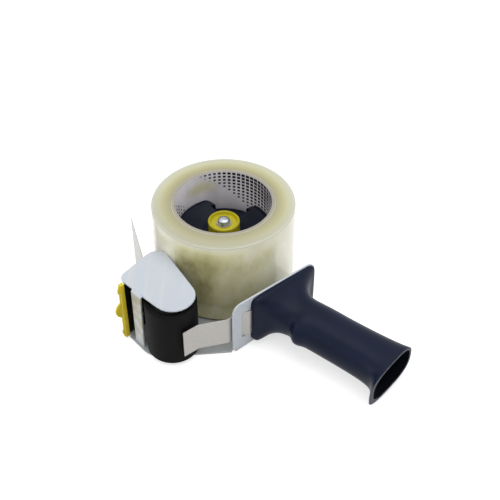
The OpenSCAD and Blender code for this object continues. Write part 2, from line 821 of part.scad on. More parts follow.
module handle() {
    sides = 32;
    inner = concat([cavity_x / handle_len], [for (s = outer_shares) if (s * handle_len > cavity_x + 1) s], [1.03]);
    color(navy) difference() {
        loft([for (s = outer_shares) handle_ring(s, 0, sides)]);
        loft([for (s = inner) handle_ring(s, handle_wall, sides, bore_reach)]);
        translate([flange_out - 1, flange_y0, tongue_z - slot_play])
            cube([1 + pocket_depth, tongue_end + 1 - flange_y0, tongue_w + 2 * slot_play]);
        for (p = handle_holes)
            translate([flange_out - 1, p.x, p.y]) rotate([0, 90, 0])
                cylinder(r = handle_screw_r + run_fit, h = cavity_x + 3);
    }
}

module handle_screws() {
    color("silver") for (p = handle_holes) translate([flange_x, p.x, p.y]) rotate([0, 90, 0]) {
        translate([0, 0, -2.4]) cylinder(r1 = 3.4, r2 = 4, h = 2.4);
        translate([0, 0, -eps]) cylinder(r = handle_screw_r, h = sheet_t + cavity_x - 0.5);
    }
}

frame();
spindle_post();
bearing_washer();
hub();
hub_bush();
friction_washer();
thrust_washer();
tension_spring();
spring_cap();
adjusting_knob();
retaining_washer();
lock_washer();
retaining_screw();
tape_core();
tape_roll();
roller_axle();
axle_screw();
roller_bushes();
roller_core();
roller_rubber();
blade();
blade_screws();
blade_nuts();
blade_guard();
wiper_root();
wiper_flap();
wiper_clamp();
wiper_rivets();
tongue_root();
tongue_arm();
handle();
handle_screws();
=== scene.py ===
import math

import bpy
from mathutils import Matrix, Vector


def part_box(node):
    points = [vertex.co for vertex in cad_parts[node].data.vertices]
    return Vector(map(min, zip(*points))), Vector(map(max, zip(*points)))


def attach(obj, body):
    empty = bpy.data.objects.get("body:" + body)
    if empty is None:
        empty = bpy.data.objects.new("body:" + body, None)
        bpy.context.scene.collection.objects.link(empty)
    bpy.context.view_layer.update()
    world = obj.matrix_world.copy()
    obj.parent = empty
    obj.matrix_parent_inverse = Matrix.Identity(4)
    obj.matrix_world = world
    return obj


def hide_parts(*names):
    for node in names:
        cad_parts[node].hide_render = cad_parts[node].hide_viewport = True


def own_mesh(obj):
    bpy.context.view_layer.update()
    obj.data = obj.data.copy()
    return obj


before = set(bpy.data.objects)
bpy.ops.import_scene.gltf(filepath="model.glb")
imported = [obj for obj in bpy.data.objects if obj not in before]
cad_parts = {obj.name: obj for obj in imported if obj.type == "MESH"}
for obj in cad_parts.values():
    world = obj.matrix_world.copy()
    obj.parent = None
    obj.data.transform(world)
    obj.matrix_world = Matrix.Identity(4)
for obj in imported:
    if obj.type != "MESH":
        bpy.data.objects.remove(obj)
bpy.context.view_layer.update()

# ---------------------------------------------------------------- sheet-steel frame
# Side plate, top plate, front web, blade wall, wiper wall and handle flange.
# One part of 1.5 mm steel sheet, pressed and bent, with pale blue-grey baked enamel over it.
# The enamel gives a soft gloss with slight orange peel, and its edges are rounded by the coating.

MM = 0.001  # sizes are in mm, and those times MM are in Blender's metres
STRAY = 0.13 * MM  # a rounded point farther off the CAD surface than this was thrown off it
WELD = 0.002 * MM  # points closer together than this are one point
FLAT = math.radians(0.5)  # faces that turn less than this are one flat face
# sockets of a Mix node for colours: the share of the second colour, both colours and the result
SHARE, FIRST, SECOND, MIXED = 0, 6, 7, 2


def linear(code):
    """Linear colour of an sRGB hex value."""
    parts = [int(code[i:i + 2], 16) / 255 for i in (1, 3, 5)]
    return [p / 12.92 if p <= 0.04045 else ((p + 0.055) / 1.055) ** 2.4 for p in parts] + [1]


def add(finish, kind, values=None, links=None, stops=None, **settings):
    """Adds a node to a finish with its settings, its socket values, its colour stops and its links."""
    node = finish.node_tree.nodes.new("ShaderNode" + kind)
    for name, value in settings.items():
        setattr(node, name, value)
    for socket, value in (values or {}).items():
        node.inputs[socket].default_value = value
    for socket, source in (links or {}).items():
        finish.node_tree.links.new(source, node.inputs[socket])
    if stops:
        points = node.color_ramp.elements
        while len(points) < len(stops):
            points.new(1)
        for point, (spot, colour) in zip(points, stops):
            point.position = spot
            point.color = linear(colour) if isinstance(colour, str) else [colour] * 3 + [1]
    return node


def new_finish(name, values):
    """Starts a finish. Gives it, its shader, and the place of each point on the piece."""
    finish = bpy.data.materials.new(name)
    finish.use_nodes = True
    finish.node_tree.nodes.clear()
    shader = add(finish, "BsdfPrincipled", values)
    add(finish, "OutputMaterial", links={"Surface": shader.outputs["BSDF"]})
    return finish, shader, add(finish, "TexCoord").outputs["Object"]


def feed(finish, shader, **sources):
    """Links sources to the shader's sockets, whose names are given with _ for a space."""
    for socket, source in sources.items():
        finish.node_tree.links.new(source, shader.inputs[socket.replace("_", " ")])


def mottle(finish, place, noise, dark, light, spread=(0.3, 0.7)):
    """Cloudy noise over a piece, from a dark to a light colour. Gives its grey value and its colour.
    Its Scale is the number of patches to the metre: 200 makes them 5 mm across."""
    grey = add(finish, "TexNoise", noise, {"Vector": place}).outputs["Fac"]
    ramp = add(finish, "ValToRGB", links={"Fac": grey}, stops=[(spread[0], dark), (spread[1], light)])
    return grey, ramp.outputs["Color"]


def select_only(piece):
    """Selects one piece and nothing else."""
    bpy.ops.object.select_all(action="DESELECT")
    piece.select_set(True)
    bpy.context.view_layer.objects.active = piece


def modify(piece, kind, **settings):
    """Adds a modifier to a piece and applies it."""
    select_only(piece)
    tool = piece.modifiers.new(kind, kind)
    for name, value in settings.items():
        setattr(tool, name, value)
    bpy.ops.object.modifier_apply(modifier=tool.name)


def smooth(piece, angle=40):
    """Shades a piece smooth, with its flat faces kept flat and its edges over an angle sharp."""
    select_only(piece)
    bpy.ops.object.shade_smooth_by_angle(angle=math.radians(angle))
    modify(piece, "WEIGHTED_NORMAL", keep_sharp=True)


def round_edges(piece, width, segments=2, angle=40, cad=None):
    """Rounds the edges of a piece to a width in mm and shades it smooth.
    Points that the rounding throws off the CAD node named by cad are set back on its surface."""
    modify(piece, "BEVEL", width=width * MM, segments=segments, limit_method="ANGLE",
           angle_limit=math.radians(angle), use_clamp_overlap=False)
    if cad:
        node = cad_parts[cad]
        stray = piece.vertex_groups.new(name="stray")
        stray.add([point.index for point in piece.data.vertices
                   if (node.closest_point_on_mesh(point.co)[1] - point.co).length > STRAY], 1, "ADD")
        modify(piece, "SHRINKWRAP", target=node, vertex_group="stray")
        piece.vertex_groups.clear()
        bpy.ops.object.mode_set(mode="EDIT")
        bpy.ops.mesh.select_all(action="SELECT")
        bpy.ops.mesh.remove_doubles(threshold=2 * WELD)
        bpy.ops.mesh.dissolve_degenerate(threshold=WELD)
        bpy.ops.object.mode_set(mode="OBJECT")
    smooth(piece, angle)


def merged_copy(node, name, whole_faces=True):
    """Copy of a CAD node with its triangles joined and, if asked, its flat faces made whole."""
    piece = bpy.data.objects.new(name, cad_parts[node].data.copy())
    bpy.context.scene.collection.objects.link(piece)
    piece.data.materials.clear()
    select_only(piece)
    bpy.ops.object.mode_set(mode="EDIT")
    bpy.ops.mesh.select_all(action="SELECT")
    bpy.ops.mesh.remove_doubles(threshold=WELD)
    if whole_faces:
        bpy.ops.mesh.dissolve_limited(angle_limit=FLAT)
    bpy.ops.object.mode_set(mode="OBJECT")
    return piece


def fit(piece, finish, body, node):
    """Gives a piece its body and, if it has none yet, a finish, and hides the CAD node that it stands for."""
    if not piece.data.materials:
        piece.data.materials.append(finish)
    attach(piece, body)
    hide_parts(node)


def rounded(node, name, finish, body, slot, width, **rounding):
    """Makes and fits the piece of one CAD node, with its edges rounded to a width in mm."""
    piece = merged_copy(node, name)
    round_edges(piece, width, **rounding)
    fit(piece, finish, body, node)


enamel, shader, place = new_finish("baked_enamel_on_steel", {
    "IOR": 1.5, "Specular IOR Level": 0.35, "Coat Weight": 0.2, "Coat Roughness": 0.12,
})
# broad, faint clouding of the coat, 45 mm across
clouds, tone = mottle(enamel, place, {"Scale": 22, "Detail": 3, "Roughness": 0.55}, "#C0C7D0", "#C8CED7")
# streaks left by wiping, 4 mm apart and 16 times as long
along = add(enamel, "Mapping", {"Rotation": (0, 0, math.radians(140)), "Scale": (16, 1, 1)},
            {"Vector": place}, vector_type="TEXTURE")
streaks = add(enamel, "TexNoise", {"Scale": 240, "Detail": 2, "Roughness": 0.6},
              {"Vector": along.outputs["Vector"]})
wiped = add(enamel, "ValToRGB", links={"Fac": streaks.outputs["Fac"]}, stops=[(0.5, 0.0), (0.72, 0.75)])
coat = add(enamel, "Mix", {SECOND: linear("#CFD3D4")}, {SHARE: wiped.outputs["Color"], FIRST: tone},
           data_type="RGBA")
# painted reflection of the yellow guard and tape, with painted shade, in patches 9 mm across on the web's
# outer face by the blade
WEB_FACE_Y = -99 * MM
web_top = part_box("frame")[1].z - 2 * MM
spot = add(enamel, "SeparateXYZ", links={"Vector": place})
by_blade = add(enamel, "MapRange", {"From Min": WEB_FACE_Y + 0.5 * MM, "From Max": WEB_FACE_Y},
               {"Value": spot.outputs["Y"]})
up_web = add(enamel, "MapRange", {"From Max": web_top}, {"Value": spot.outputs["Z"]})
up_web = add(enamel, "ValToRGB", links={"Fac": up_web.outputs["Result"]},
             stops=[(0.06, 0.0), (0.1, 0.6), (0.45, 1.0), (0.6, 0.8), (0.9, 1.0), (1.0, 1.0), (1.0, 0.0)])
web_painted_reflection_and_shade = add(enamel, "TexNoise", {"Scale": 110, "Detail": 3}, {"Vector": place})
web_painted_reflection_and_shade = add(enamel, "ValToRGB", links={"Fac": web_painted_reflection_and_shade.outputs["Fac"]}, stops=[(0.36, 0.1), (0.54, 0.8)])
web_painted_reflection_and_shade = add(enamel, "Math", links={0: by_blade.outputs["Result"], 1: web_painted_reflection_and_shade.outputs["Color"]},
           operation="MULTIPLY")
web_painted_reflection_and_shade = add(enamel, "Math", links={0: up_web.outputs["Color"], 1: web_painted_reflection_and_shade.outputs[0]}, operation="MULTIPLY")
coat = add(enamel, "Mix", {SECOND: linear("#A39E78")}, {SHARE: web_painted_reflection_and_shade.outputs[0], FIRST: coat.outputs[MIXED]},
           data_type="RGBA")
# painted shade: the side plate's face, up to 2 mm above the table, is painted grey for the shadow under the
# tongue
painted_plate_shade = add(enamel, "MapRange", {"From Min": 2.4 * MM, "From Max": 1.4 * MM, "To Max": 0.75},
           {"Value": spot.outputs["Z"]})
coat = add(enamel, "Mix", {SECOND: linear("#9C9D9D")},
           {SHARE: painted_plate_shade.outputs["Result"], FIRST: coat.outputs[MIXED]}, data_type="RGBA")
gloss = add(enamel, "MapRange", {"To Min": 0.24, "To Max": 0.38}, {"Value": clouds})
# orange peel, 1.5 mm across
peel = add(enamel, "TexNoise", {"Scale": 650, "Detail": 1}, {"Vector": place})
skin = add(enamel, "Bump", {"Strength": 0.06, "Distance": 0.1 * MM}, {"Height": peel.outputs["Fac"]})
feed(enamel, shader, Base_Color=coat.outputs[MIXED], Roughness=gloss.outputs["Result"],
     Normal=skin.outputs["Normal"])

rounded("frame", "pressed_frame", enamel, "root", "frame_paint", 0.35, cad="frame")

# ---------------------------------------------------------------- spindle, washers and brake spring
# Turned steel spindle on the side plate, its flat washers and the coiled brake spring, all inside the hub.
# Zinc plate over turned steel: bluish grey with fine turning lines and small dull patches.

GREASE = 0.04  # film of grease between a washer and the part that turns on it


def ease_top(piece, gap):
    """Lowers the top of a flat piece by a gap in mm, with its underside left in place."""
    heights = [point.co.z for point in piece.data.vertices]
    low, high = min(heights), max(heights)
    select_only(piece)
    bpy.ops.object.mode_set(mode="EDIT")
    bpy.ops.mesh.select_all(action="SELECT")
    bpy.ops.transform.resize(value=(1, 1, 1 - gap * MM / (high - low)), center_override=(0, 0, low))
    bpy.ops.object.mode_set(mode="OBJECT")


zinc, shader, place = new_finish("zinc_plated_steel", {"Metallic": 1.0, "Anisotropic": 0.3})
patches, tone = mottle(zinc, place, {"Scale": 180, "Detail": 4, "Roughness": 0.6}, "#9C9FA4", "#BABCC0")
gloss = add(zinc, "MapRange", {"To Min": 0.24, "To Max": 0.36}, {"Value": patches})
# turning lines 0.4 mm apart, drawn coarser than real ones so that they show
lathe_lines = add(zinc, "TexWave", {"Scale": 800, "Distortion": 0.4}, {"Vector": place},
                  wave_type="RINGS", rings_direction="Z")
skin = add(zinc, "Bump", {"Strength": 0.08, "Distance": 0.05 * MM}, {"Height": lathe_lines.outputs["Fac"]})
feed(zinc, shader, Base_Color=tone, Roughness=gloss.outputs["Result"], Normal=skin.outputs["Normal"])

for node, name, body, width in (
    ("spindle_post", "turned_spindle", "root", 0.4),
    ("thrust_washer", "steel_thrust_washer", "root", 0.15),
    ("spring_cap", "spring_seat_washer", "brake_cap", 0.15),
    ("retaining_washer", "flat_washer", "root", 0.2),
    ("lock_washer", "split_lock_washer", "root", 0.18),
):
    rounded(node, name, zinc, body, "zinc_steel", width)

oiled, shader, place = new_finish("oiled_spring_wire", {"Metallic": 1.0, "Roughness": 0.32})
_, tone = mottle(oiled, place, {"Scale": 300, "Detail": 3}, "#5E5F63", "#8A8B8E")
feed(oiled, shader, Base_Color=tone)
spring = merged_copy("tension_spring", "coiled_brake_spring", whole_faces=False)
smooth(spring, 60)
fit(spring, oiled, "brake_cap", "tension_spring")
low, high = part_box("tension_spring")
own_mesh(spring)

fibre, shader, place = new_finish("vulcanised_fibre", {"Roughness": 0.75})
_, tone = mottle(fibre, place, {"Scale": 1400, "Detail": 4, "Roughness": 0.7}, "#5C3A22", "#7A5233")
feed(fibre, shader, Base_Color=tone)
fibre_washer = merged_copy("friction_washer", "fibre_brake_washer")
round_edges(fibre_washer, 0.15)
ease_top(fibre_washer, GREASE)
fit(fibre_washer, fibre, "hub_wheel", "friction_washer")

nylon, shader, place = new_finish("natural_nylon", {
    "Roughness": 0.42, "IOR": 1.53, "Subsurface Weight": 0.1, "Subsurface Scale": 1 * MM,
})
_, tone = mottle(nylon, place, {"Scale": 120, "Detail": 2}, "#DEDACB", "#ECE9DE")
feed(nylon, shader, Base_Color=tone)
nylon_washer = merged_copy("bearing_washer", "nylon_bearing_washer")
round_edges(nylon_washer, 0.2)
ease_top(nylon_washer, GREASE)
fit(nylon_washer, nylon, "root", "bearing_washer")
rounded("hub_bush", "nylon_hub_bush", nylon, "hub_wheel", "nylon", 0.2)

# ---------------------------------------------------------------- hub
# Tape hub with three hollow lobes that grip the paper core, moulded in one piece.
# Navy polypropylene: deep blue-black and satin, with the fine grain of a spark-eroded mould.

hub_plastic, shader, place = new_finish("navy_polypropylene", {"IOR": 1.49, "Specular IOR Level": 0.12})
flow, tone = mottle(hub_plastic, place, {"Scale": 45, "Detail": 3, "Roughness": 0.6}, "#0C101C", "#151A2A",
                    spread=(0.3, 0.75))
gloss = add(hub_plastic, "MapRange", {"To Min": 0.34, "To Max": 0.5}, {"Value": flow})
# mould grain, 0.4 mm across
grain = add(hub_plastic, "TexNoise", {"Scale": 2600, "Detail": 2}, {"Vector": place})
skin = add(hub_plastic, "Bump", {"Strength": 0.12, "Distance": 0.05 * MM}, {"Height": grain.outputs["Fac"]})
feed(hub_plastic, shader, Base_Color=tone, Roughness=gloss.outputs["Result"], Normal=skin.outputs["Normal"])

rounded("hub", "moulded_hub", hub_plastic, "hub_wheel", "hub_plastic", 0.45, angle=35, cad="hub")

# ---------------------------------------------------------------- brake knob and its screw
# Round knob that a hand turns to tighten the brake, with a dished top and a raised rim.
# Yellow ABS, glossy and slightly waxy, with fine grip flutes round its side, painted darker than the guard's
# yellow as painted shade in the core's bore.
# The screw over it is bright nickel over turned steel, with a low domed head.


def turned(name, profile, steps, centre=(0, 0)):
    """Piece turned round an upright axis: its profile of (radius, height) in mm is drawn and spun."""
    x, y = (value * MM for value in centre)
    bpy.ops.mesh.primitive_plane_add(size=MM, location=(0, 0, 0))
    piece = bpy.context.object
    piece.name = name
    bpy.ops.object.mode_set(mode="EDIT")
    bpy.ops.mesh.merge(type="CENTER")
    bpy.ops.transform.translate(value=(x + profile[0][0] * MM, y, profile[0][1] * MM))
    for (r0, z0), (r1, z1) in zip(profile, profile[1:]):
        bpy.ops.mesh.extrude_region_move(
            TRANSFORM_OT_translate={"value": ((r1 - r0) * MM, 0, (z1 - z0) * MM)})
    bpy.ops.mesh.select_all(action="SELECT")
    bpy.ops.mesh.spin(steps=steps, angle=2 * math.pi, center=(x, y, 0), axis=(0, 0, 1))
    bpy.ops.mesh.select_all(action="SELECT")
    bpy.ops.mesh.remove_doubles(threshold=WELD)
    bpy.ops.mesh.normals_make_consistent(inside=False)
    bpy.ops.object.mode_set(mode="OBJECT")
    return piece


# painted shade: the knob's yellow is darker than the guard's, for the shade in the core's bore
yellow, shader, place = new_finish("yellow_abs_painted_shade", {"IOR": 1.54, "Specular IOR Level": 0.35})
flow, tone = mottle(yellow, place, {"Scale": 60, "Detail": 3, "Roughness": 0.6}, "#B9AC0A", "#C6BB1C",
                    spread=(0.3, 0.72))
gloss = add(yellow, "MapRange", {"To Min": 0.26, "To Max": 0.36}, {"Value": flow})
feed(yellow, shader, Base_Color=tone, Roughness=gloss.outputs["Result"])

rounded("adjusting_knob", "fluted_brake_knob", yellow, "knob", "knob_plastic", 0.35,
        segments=3, angle=35, cad="adjusting_knob")

bright, shader, place = new_finish("bright_nickel_on_steel", {"Metallic": 1.0})
patches, tone = mottle(bright, place, {"Scale": 260, "Detail": 3}, "#9EA4AC", "#B6BBC2")
gloss = add(bright, "MapRange", {"To Min": 0.22, "To Max": 0.38}, {"Value": patches})
feed(bright, shader, Base_Color=tone, Roughness=gloss.outputs["Result"])

SHANK_R = 2.5
HEAD_R = 4.8
HEAD_HEIGHT = 2.95
low, high = (corner.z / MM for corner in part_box("retaining_screw"))
head_foot = high - HEAD_HEIGHT
screw = turned("domed_retaining_screw", [
    (0, low), (SHANK_R - 0.4, low), (SHANK_R, low + 0.5), (SHANK_R, head_foot), (HEAD_R - 0.2, head_foot),
    (HEAD_R, head_foot + 0.25), (HEAD_R, head_foot + 1.1), (4.3, head_foot + 1.9),
    (3.3, head_foot + 2.5), (2.4, head_foot + 2.78), (1.5, head_foot + 2.9), (0.7, high - 0.01), (0, high),
], steps=64)
smooth(screw, 50)
fit(screw, bright, "root", "retaining_screw")

# ---------------------------------------------------------------- paper core
# Spiral-wound paper tube that the tape is wound on, cut square at its ends.
# Grey-lilac liner inside, printed with a common halftone of square dots that get smaller round the wall.

core_low, core_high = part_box("tape_core")
core_r = core_high.x / MM
core_z0, core_z1 = core_low.z / MM, core_high.z / MM
BORE_R = 38.1
DOTS_AROUND = 60
DOT_RISE = 3.3
PRINT_SIDE = 77.5  # degrees from X to the side that the print is centred on
# half widths of dots, in squares of the print: the limits, then the middle of the top row with what each
# column and each row down takes off, then the foot of the other side with what each adds
SMALLEST_DOT, LARGEST_DOT = 0.23, 0.44
TOP_DOT, COLUMN_LOSS, ROW_LOSS = 0.5, 0.018, 0.0193
FAR_DOT, COLUMN_GAIN, ROW_GAIN = -0.245, 0.0188, 0.0165
SOFT_PRINT, SOFT_INK = 0.005, 0.015  # over these the print and each dot's edge fade out
STAIN = (-37.8, 5, 65)  # the glue stain's middle
STAIN_REACH = (30, 30, 16)
PLY = 0.45  # thickness of one ply of the paper


def off_middle(finish, squares):
    """Distance of each point from the middle of its square, with places counted in squares."""
    part = add(finish, "Math", {1: 1.0}, {0: squares}, operation="FLOORED_MODULO")
    part = add(finish, "Math", {1: 0.5}, {0: part.outputs[0]}, operation="SUBTRACT")
    return add(finish, "Math", links={0: part.outputs[0]}, operation="ABSOLUTE").outputs[0]


def from_axis(finish, place):
    """Distance of each point from the roll's axis."""
    spot = add(finish, "SeparateXYZ", links={"Vector": place})
    level = add(finish, "CombineXYZ", links={"X": spot.outputs["X"], "Y": spot.outputs["Y"]})
    return add(finish, "VectorMath", links={0: level.outputs[0]}, operation="LENGTH").outputs["Value"]


liner, shader, place = new_finish("printed_paper_liner", {"Roughness": 0.62, "Specular IOR Level": 0.4})
# squares of the print, counted both ways round from its middle and down from the core's top
facing = add(liner, "Mapping", {"Rotation": (0, 0, math.radians(-PRINT_SIDE))}, {"Vector": place})
spot = add(liner, "SeparateXYZ", links={"Vector": facing.outputs["Vector"]})
turn = add(liner, "Math", links={0: spot.outputs["Y"], 1: spot.outputs["X"]}, operation="ARCTAN2")
around = add(liner, "Math", {1: DOTS_AROUND / (2 * math.pi)}, {0: turn.outputs[0]}, operation="MULTIPLY")
below = add(liner, "MapRange", {"From Min": core_z1 * MM, "From Max": (core_z1 - DOT_RISE) * MM},
            {"Value": spot.outputs["Z"]}, clamp=False)
off_x = off_middle(liner, around.outputs[0])
off_z = off_middle(liner, below.outputs["Result"])
off = add(liner, "Math", links={0: off_x, 1: off_z}, operation="MAXIMUM")
# the dots are largest at the print's middle at the top, and get smaller down and round
column = add(liner, "Math", links={0: around.outputs[0]}, operation="FLOOR")
column = add(liner, "Math", links={0: column.outputs[0]}, operation="ABSOLUTE")
row = add(liner, "Math", links={0: below.outputs["Result"]}, operation="FLOOR")
size = add(liner, "Math", {1: -COLUMN_LOSS, 2: TOP_DOT}, {0: column.outputs[0]}, operation="MULTIPLY_ADD")
size = add(liner, "Math", {1: -ROW_LOSS}, {0: row.outputs[0], 2: size.outputs[0]}, operation="MULTIPLY_ADD")
# and small ones again from the foot upwards on the other side
other = add(liner, "Math", {1: COLUMN_GAIN, 2: FAR_DOT}, {0: column.outputs[0]}, operation="MULTIPLY_ADD")
other = add(liner, "Math", {1: ROW_GAIN}, {0: row.outputs[0], 2: other.outputs[0]}, operation="MULTIPLY_ADD")
size = add(liner, "Math", links={0: size.outputs[0], 1: other.outputs[0]}, operation="MAXIMUM")
size = add(liner, "Math", {1: LARGEST_DOT}, {0: size.outputs[0]}, operation="MINIMUM")
edge = add(liner, "Math", links={0: size.outputs[0], 1: off.outputs[0]}, operation="SUBTRACT")
ink = add(liner, "MapRange", {"From Min": -SOFT_INK, "From Max": SOFT_INK}, {"Value": edge.outputs[0]})
printed = add(liner, "MapRange", {"From Min": SMALLEST_DOT - SOFT_PRINT,
                                  "From Max": SMALLEST_DOT + SOFT_PRINT}, {"Value": size.outputs[0]})
ink = add(liner, "Math", links={0: ink.outputs["Result"], 1: printed.outputs["Result"]}, operation="MULTIPLY")
smudge, paper = mottle(liner, place, {"Scale": 38, "Detail": 3, "Roughness": 0.5}, "#D6D2D8", "#E8E5EA",
                       spread=(0.35, 0.6))
# greenish glue stain behind the paper, near its top on the side away from the handle
stain = add(liner, "Mapping", {"Location": [v * MM for v in STAIN], "Scale": [v * MM for v in STAIN_REACH]},
            {"Vector": place}, vector_type="TEXTURE")
stain = add(liner, "VectorMath", links={0: stain.outputs["Vector"]}, operation="LENGTH")
stain = add(liner, "Math", links={0: stain.outputs["Value"], 1: smudge}, operation="ADD")
stain = add(liner, "ValToRGB", links={"Fac": stain.outputs[0]}, stops=[(0.65, 0.7), (1.2, 0.0)])
paper = add(liner, "Mix", {SECOND: linear("#CBC892")}, {SHARE: stain.outputs["Color"], FIRST: paper},
            data_type="RGBA")
inner = add(liner, "Mix", {SECOND: linear("#060707")}, {SHARE: ink.outputs[0], FIRST: paper.outputs[MIXED]},
            data_type="RGBA")
feed(liner, shader, Base_Color=inner.outputs[MIXED])

kraft, shader, place = new_finish("kraft_paper_tube", {"Roughness": 0.85})
radius = from_axis(kraft, place)
# the paper's plies show as light and dark rings on the cut end
plies = add(kraft, "Math", {1: math.pi / (PLY * MM)}, {0: radius}, operation="MULTIPLY")
plies = add(kraft, "Math", links={0: plies.outputs[0]}, operation="SINE")
rings = add(kraft, "ValToRGB", links={"Fac": plies.outputs[0]}, stops=[(0.2, "#8F8B80"), (0.8, "#C9C4B6")])
# light reaches less of the tube's outside the deeper it lies under the film
spot = add(kraft, "SeparateXYZ", links={"Vector": place})
depth = add(kraft, "MapRange", {"From Min": core_z0 * MM, "From Max": core_z1 * MM},
            {"Value": spot.outputs["Z"]})
shade = add(kraft, "ValToRGB", links={"Fac": depth.outputs["Result"]},
            stops=[(0.0, "#C9BE72"), (0.5, "#D8CF88"), (0.8, "#E4DDA4"), (1.0, "#E6E1BC")])
# damp, darker patches in the kraft paper
blots = add(kraft, "TexNoise", {"Scale": 45, "Detail": 4, "Roughness": 0.6}, {"Vector": place})
blots = add(kraft, "ValToRGB", links={"Fac": blots.outputs["Fac"]}, stops=[(0.45, 0.0), (0.65, 0.6)])
shade = add(kraft, "Mix", {SECOND: linear("#6E6328")},
            {SHARE: blots.outputs["Color"], FIRST: shade.outputs["Color"]}, data_type="RGBA")
outside = add(kraft, "Math", {1: (core_r - 0.2) * MM}, {0: radius}, operation="GREATER_THAN")
tone = add(kraft, "Mix",
           links={SHARE: outside.outputs[0], FIRST: rings.outputs["Color"], SECOND: shade.outputs[MIXED]},
           data_type="RGBA")
feed(kraft, shader, Base_Color=tone.outputs[MIXED])

core = turned("paper_core", [
    (BORE_R, core_z0), (core_r, core_z0), (core_r, core_z1), (BORE_R, core_z1), (BORE_R, core_z0),
], steps=128)
core.data.materials.append(kraft)
core.data.materials.append(liner)
for face in core.data.polygons:
    face.material_index = 1 if math.hypot(face.center.x, face.center.y) < (BORE_R + 0.1) * MM else 0
round_edges(core, 0.2)
fit(core, kraft, "roll", "tape_core")

# ---------------------------------------------------------------- wound tape
# Clear film with pale yellow adhesive, wound hard on the core: hundreds of turns that look like milky glass.
# Its cut faces scatter the light and are cream to yellow, and its side lets the core show through.

roll_low, roll_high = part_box("tape_roll")
film_r = roll_high.x / MM
film_in = core_r + 0.02
film_z0, film_z1 = roll_low.z / MM, roll_high.z / MM
CAMERA_SIDE, SHADED_STREAK_SIDE, DARKER_RING_SIDE = -38, -63, -50  # degrees from X
TURN = 0.5


def reach(finish, place, degrees):
    """How far each point lies from the roll's axis towards a side, given in degrees from X."""
    heading = (math.cos(math.radians(degrees)), math.sin(math.radians(degrees)), 0)
    return add(finish, "VectorMath", {1: heading}, {0: place}, operation="DOT_PRODUCT").outputs["Value"]


film, shader, place = new_finish("wound_film_side", {
    "IOR": 1.5, "Roughness": 0.25, "Coat Weight": 0.3, "Coat Roughness": 0.08,
})
spot = add(film, "SeparateXYZ", links={"Vector": place})
height = add(film, "MapRange", {"From Min": film_z0 * MM, "From Max": film_z1 * MM},
             {"Value": spot.outputs["Z"]})
# Air trapped between the turns makes the winding milky. Painted light: it is clearer, so darker, on the side
# that faces the camera, and milkier and paler round the flanks as painted reflection;
# clearer and darker lower down, and milkier at the top, as painted shade under light from above; clearer and
# darker in one upright streak, as painted shade from the top plate and roller; and clearer in cloudy patches
# painted reflection: clearer on the side that faces the camera, so paler round the flanks
toward_camera = add(film, "MapRange", {"From Min": 0.7 * film_r * MM, "From Max": 0.9 * film_r * MM},
               {"Value": reach(film, place, CAMERA_SIDE)})
# painted shade: clearer and darker lower down, milkier and paler at the top, under light from above
lower = add(film, "ValToRGB", links={"Fac": height.outputs["Result"]}, stops=[
    (0.0, 0.15), (0.15, 0.17), (0.35, 0.17), (0.57, 0.16), (0.77, 0.18), (0.9, 0.13), (0.98, 0.0),
])
clear = add(film, "Math", links={0: toward_camera.outputs["Result"], 1: lower.outputs["Color"]},
            operation="MULTIPLY")
# painted shade from the top plate and roller: a clearer, darker upright streak
streak = add(film, "MapRange", {"From Min": 0.93 * film_r * MM, "From Max": 0.99 * film_r * MM,
                                "To Max": 0.31}, {"Value": reach(film, place, SHADED_STREAK_SIDE)})
fades = add(film, "ValToRGB", links={"Fac": height.outputs["Result"]},
            stops=[(0.0, 0.0), (0.2, 0.1), (0.45, 0.9), (0.72, 1.0), (0.97, 0.0)])
streak = add(film, "Math", links={0: streak.outputs["Result"], 1: fades.outputs["Color"]},
             operation="MULTIPLY")
clear = add(film, "Math", links={0: clear.outputs[0], 1: streak.outputs[0]}, operation="ADD")
# cloudy patches 20 mm across, and longer upwards
upwards = add(film, "Mapping", {"Scale": (1, 1, 0.6)}, {"Vector": place})
cloud = add(film, "TexNoise", {"Scale": 48, "Detail": 3, "Roughness": 0.6},
            {"Vector": upwards.outputs["Vector"]})
cloud = add(film, "MapRange", {"From Min": 0.35, "From Max": 0.65, "To Min": 0.2, "To Max": 1.7},
            {"Value": cloud.outputs["Fac"]})
clear = add(film, "Math", links={0: clear.outputs[0], 1: cloud.outputs["Result"]}, operation="MULTIPLY",
            use_clamp=True)
# the clearer, the darker and yellower, which carries the painted light above
milk_and_painted_light = add(film, "ValToRGB", links={"Fac": clear.outputs[0]},
           stops=[(0.0, "#EBE9D0"), (0.08, "#E7E4C0"), (0.2, "#E0DBA8"), (0.5, "#D2CB90"), (1.0, "#A89F60")])
# the less milky it is, the better it is seen through, but not at its upper edge or from below
see_in = add(film, "MapRange", {"To Min": 0.78, "To Max": 0.28}, {"Value": clear.outputs[0]})
# painted light from above: the upper band is more solid, so paler
rim = add(film, "MapRange", {"From Min": 0.72, "From Max": 0.97, "To Max": 0.35},
          {"Value": height.outputs["Result"]})
under = add(film, "Math", {1: (film_z0 + 0.1) * MM}, {0: spot.outputs["Z"]}, operation="LESS_THAN")
solid = add(film, "Math", links={0: see_in.outputs["Result"], 1: rim.outputs["Result"]}, operation="ADD")
solid = add(film, "Math", links={0: solid.outputs[0], 1: under.outputs[0]}, operation="ADD", use_clamp=True)
# seen from inside, through the near turns, the far side is clearer
inside = add(film, "NewGeometry").outputs["Backfacing"]
inside = add(film, "Math", {1: -0.65, 2: 1.0}, {0: inside}, operation="MULTIPLY_ADD")
solid = add(film, "Math", links={0: solid.outputs[0], 1: inside.outputs[0]}, operation="MULTIPLY")
feed(film, shader, Base_Color=milk_and_painted_light.outputs["Color"], Alpha=solid.outputs[0])

cut_film, shader, place = new_finish("cut_film_edges", {"Roughness": 0.5, "IOR": 1.45, "Coat Weight": 0.1})
radius = from_axis(cut_film, place)
